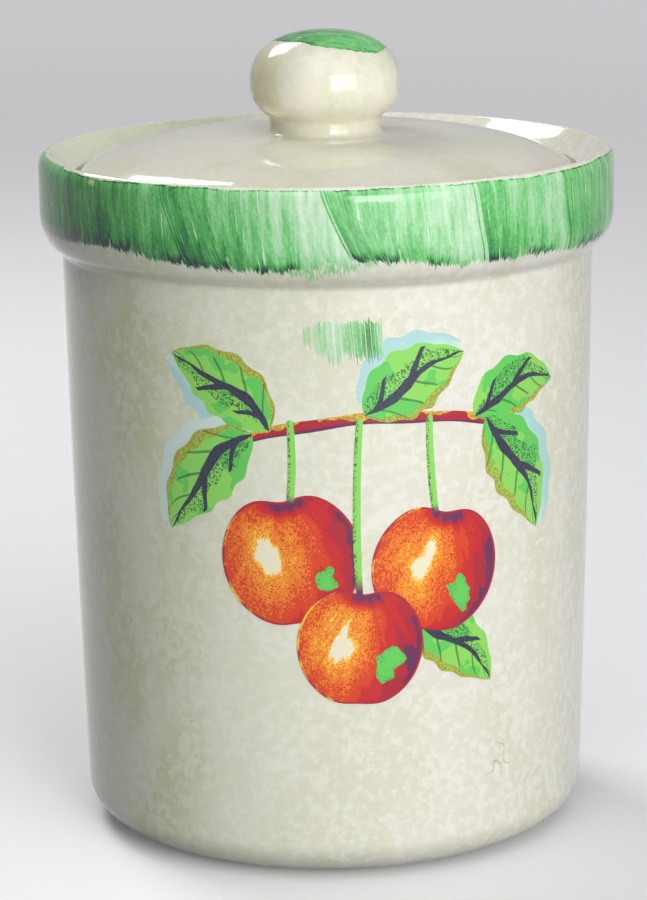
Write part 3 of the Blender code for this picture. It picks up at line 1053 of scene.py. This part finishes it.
def jar_outline():
    """Foot ring, rounded heel, tapered side, hollow fillet, rolled collar, sloping mouth, ledge and inside."""
    foot_inner = FOOT_RADIUS - FOOT_WIDTH
    outline = [(0.0, FOOT_RECESS), (foot_inner - FOOT_RECESS - FOOT_ROUND, FOOT_RECESS)]
    outline += [(foot_inner - FOOT_ROUND, FOOT_ROUND), (foot_inner, 0.0)]
    outline += arc((FOOT_RADIUS, HEEL_RISE), HEEL_RUN, HEEL_RISE, -90, 0)

    for share in shares(SIDE_STEPS):
        height = HEEL_RISE + (BODY_TOP_HEIGHT - HEEL_RISE) * share
        outline.append((body_radius(height), height))
    fillet_centre = (COLLAR_FILLET_RADIUS, BODY_TOP_HEIGHT)
    fillet_end = 90 + math.degrees(COLLAR_SLOPE)
    outline += round_off(fillet_centre, COLLAR_FILLET, 180, fillet_end)[1:]

    roll_centre = (BODY_TOP_RADIUS, JAR_HEIGHT - COLLAR_WALL_HEIGHT)
    outline += arc(roll_centre, COLLAR_OVERHANG, COLLAR_ROLL_HEIGHT, -math.degrees(ROLL_END), 0, 2 * ARC_STEPS)
    wall_bottom, wall_top = outline[-1][1], JAR_HEIGHT - LIP_DROP
    wall_height = wall_top - wall_bottom
    outline += [(RIM_RADIUS, wall_bottom + wall_height * share) for share in shares(SMALL_ARC_STEPS)[:-1]]

    outline += arc((CREST_RADIUS, wall_top), LIP_RUN, LIP_DROP, 0, 90)
    inner_centre = (CREST_RADIUS, JAR_HEIGHT - LIP_ROUND)
    outline += round_off(inner_centre, LIP_ROUND, 90, 90 + math.degrees(MOUTH_SLOPE))[1:]
    slope_start, slope_top = outline[-1]
    slope_fall = (slope_start - RECESS_RADIUS) * math.tan(MOUTH_SLOPE)
    for share in shares(ARC_STEPS):
        height = slope_top - slope_fall * share - MOUTH_HOLLOW * 4 * share * (1 - share)
        outline.append((slope_start + (RECESS_RADIUS - slope_start) * share, height))
    outline.append((RECESS_RADIUS, LEDGE_HEIGHT))
    ledge_centre = (BORE_RADIUS + LEDGE_ROUND, LEDGE_HEIGHT - LEDGE_ROUND)
    outline += round_off(ledge_centre, LEDGE_ROUND, 90, 180)

    outline.append((BORE_RADIUS, BODY_TOP_HEIGHT))
    corner_height = FLOOR_HEIGHT + FLOOR_CORNER
    for share in shares(SIDE_STEPS):
        height = BODY_TOP_HEIGHT + (corner_height - BODY_TOP_HEIGHT) * share
        outline.append((body_radius(height) - WALL, height))
    corner_centre = (outline[-1][0] - FLOOR_CORNER, corner_height)
    outline += arc(corner_centre, FLOOR_CORNER, FLOOR_CORNER, 0, -90)[1:]
    outline.append((0.0, FLOOR_HEIGHT))
    return outline


def lid_outline():
    """A dome with a short hollow neck for the knob, and a grooved flange that drops into the jar."""
    fillet_radius = NECK_RADIUS + NECK_FILLET
    fillet_centre = (fillet_radius, dome_height(fillet_radius) + NECK_FILLET)
    joint_reach = NECK_RADIUS + JOINT_FILLET * (1 - math.cos(math.radians(JOINT_TURN)))
    joint_top = KNOB_WAIST - under_bulge(joint_reach)
    joint_centre = (NECK_RADIUS + JOINT_FILLET, joint_top - JOINT_FILLET * math.sin(math.radians(JOINT_TURN)))
    outline = [(NECK_BORE, NECK_TOP)]
    outline += round_off(joint_centre, JOINT_FILLET, 180 - JOINT_TURN, 180)
    outline += round_off(fillet_centre, NECK_FILLET, 180, 270)
    for share in shares(DOME_STEPS):
        radius = fillet_radius + (LID_RADIUS - fillet_radius) * math.sin(math.pi / 2 * share)
        outline.append((radius, dome_height(radius)))
    seat_centre = (LID_RADIUS - LID_SEAT_ROUND, LID_UNDERSIDE + LID_SEAT_ROUND)
    outline += round_off(seat_centre, LID_SEAT_ROUND, 0, -90)

    flange_inner = FLANGE_RADIUS - FLANGE_WALL
    flange_tip = FLANGE_BOTTOM + FLANGE_ROUND
    outline += [(FLANGE_RADIUS, LID_UNDERSIDE), (FLANGE_RADIUS, GROOVE_TOP), (GROOVE_RADIUS, GROOVE_TOP)]
    outline += [(GROOVE_RADIUS, GROOVE_BOTTOM), (FLANGE_RADIUS, GROOVE_BOTTOM)]
    for radius, start in ((FLANGE_RADIUS - FLANGE_ROUND, 0), (flange_inner + FLANGE_ROUND, -90)):
        outline += round_off((radius, flange_tip), FLANGE_ROUND, start, start - 90)
    for share in shares(DOME_STEPS, 0):
        radius = flange_inner + (NECK_BORE - flange_inner) * share
        outline.append((radius, dome_height(radius) - LID_THICKNESS))
    outline.append(outline[0])
    outline.reverse()
    return outline


def knob_outline():
    """A hollow bun, wider than it is high, with an open flat base on the lid's neck."""
    centre = (0.0, KNOB_WAIST)
    waist_height = KNOB_WAIST - KNOB_BOTTOM
    heights = [KNOB_UPPER * math.cos(math.pi / 2 * share) ** (2 / KNOB_FULLNESS) for share in shares(DOME_STEPS, 0)]
    heights += [(KNOB_ROUND - waist_height) * share for share in shares(ARC_STEPS)]
    outline = [(bulge(height), KNOB_WAIST + height) for height in heights]
    outline += [(outline[-1][0] - KNOB_ROUND, KNOB_BOTTOM), (NECK_BORE, KNOB_BOTTOM)]
    hollow_radius = KNOB_RADIUS - KNOB_WALL
    throat_angle = math.acos(NECK_BORE / hollow_radius)
    hollow_lower = (waist_height - KNOB_LIP) / math.sin(throat_angle)
    outline += arc(centre, hollow_radius, hollow_lower, -math.degrees(throat_angle), 0, SMALL_ARC_STEPS)
    outline += arc(centre, hollow_radius, KNOB_UPPER - KNOB_WALL, 0, 90)[1:]
    for end in (0, -1):
        outline[end] = (0.0, outline[end][1])
    outline.reverse()
    return outline


def seal_outline():
    """A band with thin fins that lean up and brush the jar's bore."""
    inner = GROOVE_RADIUS + SEAL_GAP
    outer = inner + SEAL_BAND
    bottom, top = SEAL_LOW.z, SEAL_HIGH.z
    outline = [(inner, top), (inner, bottom), (outer, bottom)]
    pitch = (top - bottom) / FIN_COUNT
    for fin in range(FIN_COUNT):
        root = bottom + pitch * (fin + 0.5) - FIN_THICKNESS / 2 - FIN_LIFT / 2
        tip_centre = (SEAL_TIP - FIN_THICKNESS / 4, root + FIN_LIFT + FIN_THICKNESS / 4)
        outline.append((outer, root))
        outline += round_off(tip_centre, FIN_THICKNESS / 4, -90, 90)
        outline.append((outer, root + FIN_THICKNESS))
    outline += [(outer, top), (inner, top)]
    return outline


# The wheel: a node tree that turns an outline's points about Z


def weld(tree, piece, distance):
    """A geometry with the points that lie together merged."""
    return add(tree, "GeometryNodeMergeByDistance", {"Geometry": piece, "Distance": distance})


def placed(tree, piece, place):
    """A geometry with each of its points moved to a place."""
    return add(tree, "GeometryNodeSetPosition", {"Geometry": piece, "Position": place})


def end_piece(tree, piece, given, sink):
    """End a node tree: the piece is real geometry with its own material."""
    realized = add(tree, "GeometryNodeRealizeInstances", {"Geometry": piece})
    finished = add(tree, "GeometryNodeSetMaterial", {"Geometry": realized, "Material": given["Finish"]})
    connect(finished, sink.inputs["Piece"])


def make_wheel():
    """Spins the outline's points round, leaves the surface very slightly uneven and closes it."""
    sizes = sockets(geometry="Outline", whole="Steps", number="Unevenness, Unevenness Size, Merge Distance")
    sizes |= sockets(material="Finish")
    wheel, given, sink = start_group("wheel", "GeometryNodeTree", sizes, sockets(geometry="Piece"))
    rows = add(wheel, "GeometryNodeAttributeDomainSize", {"Geometry": given["Outline"]}, "Point Count")
    inputs = {"Size X": 1.0, "Size Y": 1.0, "Vertices X": given["Steps"] + 1.0, "Vertices Y": rows}
    grid = add(wheel, "GeometryNodeMeshGrid", inputs, "Mesh")
    spot = add(wheel, "GeometryNodeInputPosition")
    across, up, _ = unpack(spot)
    angle = (across + 0.5) * math.tau
    row = calc("ROUND", (up + 0.5) * (rows - 1.0))
    inputs = {"Geometry": given["Outline"], "Value": spot, "Index": row}
    radius, _, height = unpack(add(wheel, "GeometryNodeSampleIndex", inputs, data_type="FLOAT_VECTOR"))
    hollow = dent(around(radius, angle, height), given["Unevenness"], given["Unevenness Size"])
    place = around(radius - hollow * fade(radius, 0.0, 0.01), angle, height)
    end_piece(wheel, weld(wheel, placed(wheel, grid, place), given["Merge Distance"]), given, sink)
    return wheel


def grow(name, points, tree, sizes):
    """Run a node tree on some points with its named sizes, and keep the result as a plain mesh."""
    source = bpy.data.meshes.new(name)
    source.from_pydata(points, [], [])
    piece = bpy.data.objects.new(name, source)
    bpy.context.scene.collection.objects.link(piece)
    modifier = piece.modifiers.new(tree.name, "NODES")
    modifier.node_group = tree
    keys = {item.name: item.identifier for item in tree.interface.items_tree if item.in_out == "INPUT"}
    for label, value in sizes.items():
        modifier[keys[label]] = value
    depsgraph = bpy.context.evaluated_depsgraph_get()
    mesh = bpy.data.meshes.new_from_object(piece.evaluated_get(depsgraph), depsgraph=depsgraph)
    piece.modifiers.clear()
    piece.data = mesh
    mesh.name = name
    bpy.data.meshes.remove(source)
    mesh.shade_smooth()
    mesh.set_sharp_from_angle(angle=SHARP_ANGLE)
    return piece


def turn(name, outline, looks_at, steps, body, node, slot, unevenness=UNEVENNESS, relief=GLAZE_RELIEF):
    """A turned piece that stands for one node of the frame, in a material named after its slot."""
    sizes = {"Steps": steps, "Unevenness": unevenness, "Unevenness Size": UNEVENNESS_SIZE}
    sizes |= {"Merge Distance": MERGE_DISTANCE, "Finish": make_material(slot, looks_at, relief)}
    piece = grow(name, [(radius, 0.0, height) for radius, height in outline], WHEEL, sizes)
    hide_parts(node)
    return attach(piece, body)


WHEEL = make_wheel()


# Prints: node trees that draw flat shapes, across and up in metres, and lay them on the jar's side


def join(tree, *pieces):
    """Several geometries as one."""
    node = tree.nodes.new("GeometryNodeJoinGeometry")
    for piece in pieces:
        connect(piece, node.inputs["Geometry"])
    return Wire(tree, node.outputs["Geometry"])


LAYER_SIZES = sockets(number="Lift, Bedding, Wrap Radius, Merge Distance", material="Finish")


def start_print_tree(name, inputs):
    """A node tree with its own inputs and those of the print layer."""
    return start_group(name, "GeometryNodeTree", {**inputs, **LAYER_SIZES}, sockets(geometry="Piece"))


def make_print_layer():
    """Gives a flat print its thickness, bends it round the jar's tapered side and beds it in the glaze."""
    layer, given, sink = start_print_tree("print layer", sockets(geometry="Flat"))
    merge = given["Merge Distance"]
    flat = weld(layer, given["Flat"], merge)
    depth = given["Lift"] + given["Bedding"]
    front = add(layer, "GeometryNodeExtrudeMesh", {"Mesh": flat, "Offset Scale": depth, "Individual": False}, "Mesh")
    back = add(layer, "GeometryNodeFlipFaces", {"Mesh": flat})
    closed = weld(layer, join(layer, front, back), merge)
    across, up, out = unpack(add(layer, "GeometryNodeInputPosition"))
    radius = body_radius(up)
    angle = across / given["Wrap Radius"]
    laid = radius - dent(around(radius, angle, up), UNEVENNESS, UNEVENNESS_SIZE) + out - given["Bedding"]
    end_piece(layer, placed(layer, closed, around(laid, angle, up)), given, sink)
    return layer


def lay_on_jar(tree, flat, given, sink):
    """End a print's tree in the print layer."""
    node = tree.nodes.new("GeometryNodeGroup")
    node.node_tree = PRINT_LAYER
    connect(flat, node.inputs["Flat"])
    for label in LAYER_SIZES:
        connect(given[label], node.inputs[label])
    connect(Wire(tree, node.outputs["Piece"]), sink.inputs["Piece"])


def flat_grid(tree, columns, rows):
    """A grid with its place across and up, each from 0 to 1."""
    inputs = {"Size X": 1.0, "Size Y": 1.0, "Vertices X": columns + 1, "Vertices Y": rows + 1}
    grid = add(tree, "GeometryNodeMeshGrid", inputs, "Mesh")
    across, up, _ = unpack(add(tree, "GeometryNodeInputPosition"))
    return grid, across + 0.5, up + 0.5


def shape_grid(tree, grid, motif, x, y):
    """Keep each point's place in the motif, and move the point to its place in the print."""
    inputs = {"Geometry": grid, "Name": MOTIF, "Value": motif}
    kept = add(tree, "GeometryNodeStoreNamedAttribute", inputs, data_type="FLOAT_VECTOR", domain="POINT")
    return placed(tree, kept, pack(x, y, 0.0))


def make_blade():
    """A leaf, wash, twig or stalk: a spindle along an arc, with a wavy edge."""
    numbers = "Across, Up, Heading, Length, Half Width, Bend, Fullness Near, Fullness Far, Waves, Wave Depth"
    sizes = sockets(number=numbers, whole="Steps Along, Steps Across")
    blade, given, sink = start_print_tree("printed blade", sizes)
    grid, along, side = flat_grid(blade, given["Steps Along"], given["Steps Across"])
    side = side * 2.0 - 1.0
    near, far = given["Fullness Near"], given["Fullness Far"]
    widest = near / (near + far)
    fullest = widest**near * (1.0 - widest) ** far
    profile = along**near * (1.0 - along) ** far / fullest
    ripple = sine(along * given["Waves"] * math.tau + side * 1.1) * given["Wave Depth"] + 1.0
    reach = side * profile * ripple * given["Half Width"]
    heading = given["Heading"] + given["Bend"] * along
    arc_radius = given["Length"] / given["Bend"]
    x = given["Across"] + (sine(heading) - sine(given["Heading"])) * arc_radius - sine(heading) * reach
    y = given["Up"] - (cosine(heading) - cosine(given["Heading"])) * arc_radius + cosine(heading) * reach
    flat = shape_grid(blade, grid, pack(along, side, 0.0), x, y)
    lay_on_jar(blade, flat, given, sink)
    return blade


def make_round_fruit():
    """A round fruit: a disc with a notch for the stalk, a slight notch below and full shoulders."""
    sizes = sockets(number="Across, Up, Radius, Lean, Notch, Shoulders", whole="Steps Round, Rings")
    fruit, given, sink = start_print_tree("printed fruit", sizes)
    grid, turn_share, out = flat_grid(fruit, given["Steps Round"], given["Rings"])
    from_top = turn_share * math.tau - math.pi
    height = cosine(from_top)
    notch = bell(from_top, 0.0, 0.34) * given["Notch"]
    foot = bell(calc("ABSOLUTE", from_top), math.pi, 0.30) * given["Notch"] * 0.35
    reach = (height * given["Shoulders"] + 1.0 - notch - foot) * out
    across_motif, up_motif = reach * sine(from_top), reach * height
    lean = given["Lean"]
    x = given["Across"] + (across_motif * cosine(lean) + up_motif * sine(lean)) * given["Radius"]
    y = given["Up"] + (up_motif * cosine(lean) - across_motif * sine(lean)) * given["Radius"]
    flat = shape_grid(fruit, grid, pack(across_motif, up_motif, out), x, y)
    lay_on_jar(fruit, flat, given, sink)
    return fruit


def make_bristle_marks():
    """A patch of upright bristle marks, uneven in place, width and length."""
    sizes = sockets(number="Across, Up, Width, Height, Lean", whole="Bristles, Steps Up, Seed")
    marks, given, sink = start_print_tree("bristle marks", sizes)
    pitch = given["Width"] / given["Bristles"]
    grid, across, up = flat_grid(marks, 1, given["Steps Up"])
    tip = fade(up, 0.0, 0.22) * 0.75 + 0.25
    bristle = placed(marks, grid, pack((across - 0.5) * tip, up, 0.0))
    line = add(marks, "GeometryNodeMeshLine", {"Count": given["Bristles"], "Offset": pack(pitch, 0.0, 0.0)}, "Mesh")
    along_line = unpack(add(marks, "GeometryNodeInputPosition"))[0]
    clump = noise(pack(along_line, 0.0, 0.0), 0.0042) - 0.5
    edge = bell(along_line / given["Width"], 0.0, 0.20)
    low = chance(marks, given["Seed"], 0.0, 0.20) - clump * 0.80 + edge * 0.24
    high = 1.0 - chance(marks, given["Seed"] + 1, 0.0, 0.14) + clump * 0.40 - edge * 0.12
    gap = patches(pack(along_line, 0.01, 0.0), 0.0016, 0.34, 0.44, 1.0)
    width = pitch * chance(marks, given["Seed"] + 2, 0.60, 1.30) * gap * (1.0 - edge * 0.45)
    size = pack(width, (high - low) * given["Height"], 1.0)
    lean = add(marks, "FunctionNodeEulerToRotation", {"Euler": pack(0.0, 0.0, given["Lean"])})
    inputs = {"Points": line, "Instance": bristle, "Scale": size, "Rotation": lean}
    upright = add(marks, "GeometryNodeInstanceOnPoints", inputs)
    shift = pack(given["Across"], low * given["Height"] + given["Up"], 0.0)
    inputs = {"Instances": upright, "Translation": shift, "Local Space": False}
    laid = add(marks, "GeometryNodeTranslateInstances", inputs)
    flat = add(marks, "GeometryNodeRealizeInstances", {"Geometry": laid})
    lay_on_jar(marks, flat, given, sink)
    return marks


PRINT_LAYER = make_print_layer()
BLADE = make_blade()
ROUND_FRUIT = make_round_fruit()
BRISTLE_MARKS = make_bristle_marks()


def lay_print(name, tree, finish, layer, slot="fruit_print", **sizes):
    """One print on the jar; a higher layer lies over a lower one."""
    sizes = {label.replace("_", " ").title(): value for label, value in sizes.items()}
    sizes |= {"Lift": FIRST_LIFT + layer * LAYER_LIFT, "Bedding": BEDDING, "Wrap Radius": WRAP_RADIUS}
    sizes |= {"Merge Distance": MERGE_DISTANCE, "Finish": finish}
    piece = grow(name, [], tree, sizes)
    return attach(piece, "jar")


def lay_blade(name, finish, layer, across, up, heading, length, half_width, bend, cut, shift=0.0):
    """A leaf, wash, twig or stalk from a place in the design, with headings in degrees from straight right."""
    middle = math.radians(heading + bend / 2)
    lay_print(
        name,
        BLADE,
        finish,
        layer,
        across=DESIGN_ACROSS + across - math.sin(middle) * shift,
        up=DESIGN_UP + up + math.cos(middle) * shift,
        heading=math.radians(heading),
        length=length,
        half_width=half_width,
        bend=math.radians(bend),
        steps_along=64,
        steps_across=14,
        **dict(zip(CUT_PARTS, cut)),
    )


def make_prints():
    """Apples on a leafy twig, and a patch of brush marks above it."""
    leaf, wash = make_ink("printed_leaf", leaf_colour), make_ink("leaf_wash", wash_colour)
    twig, stalk = make_ink("printed_twig", twig_colour), make_ink("printed_stalk", stalk_colour)
    apple = make_ink("printed_apple", apple_colour)
    layers = count()
    for number, (place, side) in enumerate(WASHES, 1):
        across, up, heading, length, half_width, bend = LEAVES[place]
        spread = (across, up, heading, length * WASH_LENGTHENED, half_width * WASH_WIDENED, bend)
        lay_blade(f"leaf_wash_{number}", wash, next(layers), *spread, LEAF_CUT, side * WASH_SHIFT)
    lay_blade("printed_twig", twig, next(layers), *TWIG, TWIG_CUT)
    for number, place in enumerate(LEAVES, 1):
        lay_blade(f"printed_leaf_{number}", leaf, next(layers), *place, LEAF_CUT)
    for number, (across, up, radius, lean) in enumerate(APPLES, 1):
        lay_print(
            f"printed_apple_{number}",
            ROUND_FRUIT,
            apple,
            next(layers),
            across=DESIGN_ACROSS + across,
            up=DESIGN_UP + up,
            radius=radius,
            lean=math.radians(lean),
            notch=APPLE_NOTCH,
            shoulders=APPLE_SHOULDERS,
            steps_round=120,
            rings=16,
        )
    for number, place in enumerate(STALKS, 1):
        lay_blade(f"printed_stalk_{number}", stalk, next(layers), *place, STALK_CUT)
    lay_print(
        "brush_marks",
        BRISTLE_MARKS,
        make_material("brush_mark", brush_mark),
        len(WASHES),
        "brush_mark",
        across=PATCH_ACROSS,
        up=PATCH_UP,
        width=PATCH_WIDTH,
        height=PATCH_HEIGHT,
        lean=PATCH_LEAN,
        bristles=PATCH_BRISTLES,
        steps_up=8,
        seed=3,
    )


def make_canister():
    """The four turned pieces."""
    turn("glazed_jar", jar_outline(), jar_glaze, TURN_STEPS, "jar", "jar", "jar_glaze")
    turn("domed_lid", lid_outline(), lid_glaze, TURN_STEPS, "lid", "lid", "lid_glaze")
    turn("bun_knob", knob_outline(), knob_glaze, KNOB_STEPS, "lid", "knob", "knob_glaze")
    turn(
        "lid_seal",
        seal_outline(),
        seal_silicone,
        TURN_STEPS,
        "seal",
        "seal_ring",
        "seal_silicone",
        unevenness=0.0,
        relief=SILICONE_RELIEF,
    )


bpy.context.scene.view_settings.view_transform = "Standard"
set_camera()
make_studio()
make_canister()
make_prints()

bpy.context.view_layer.update()
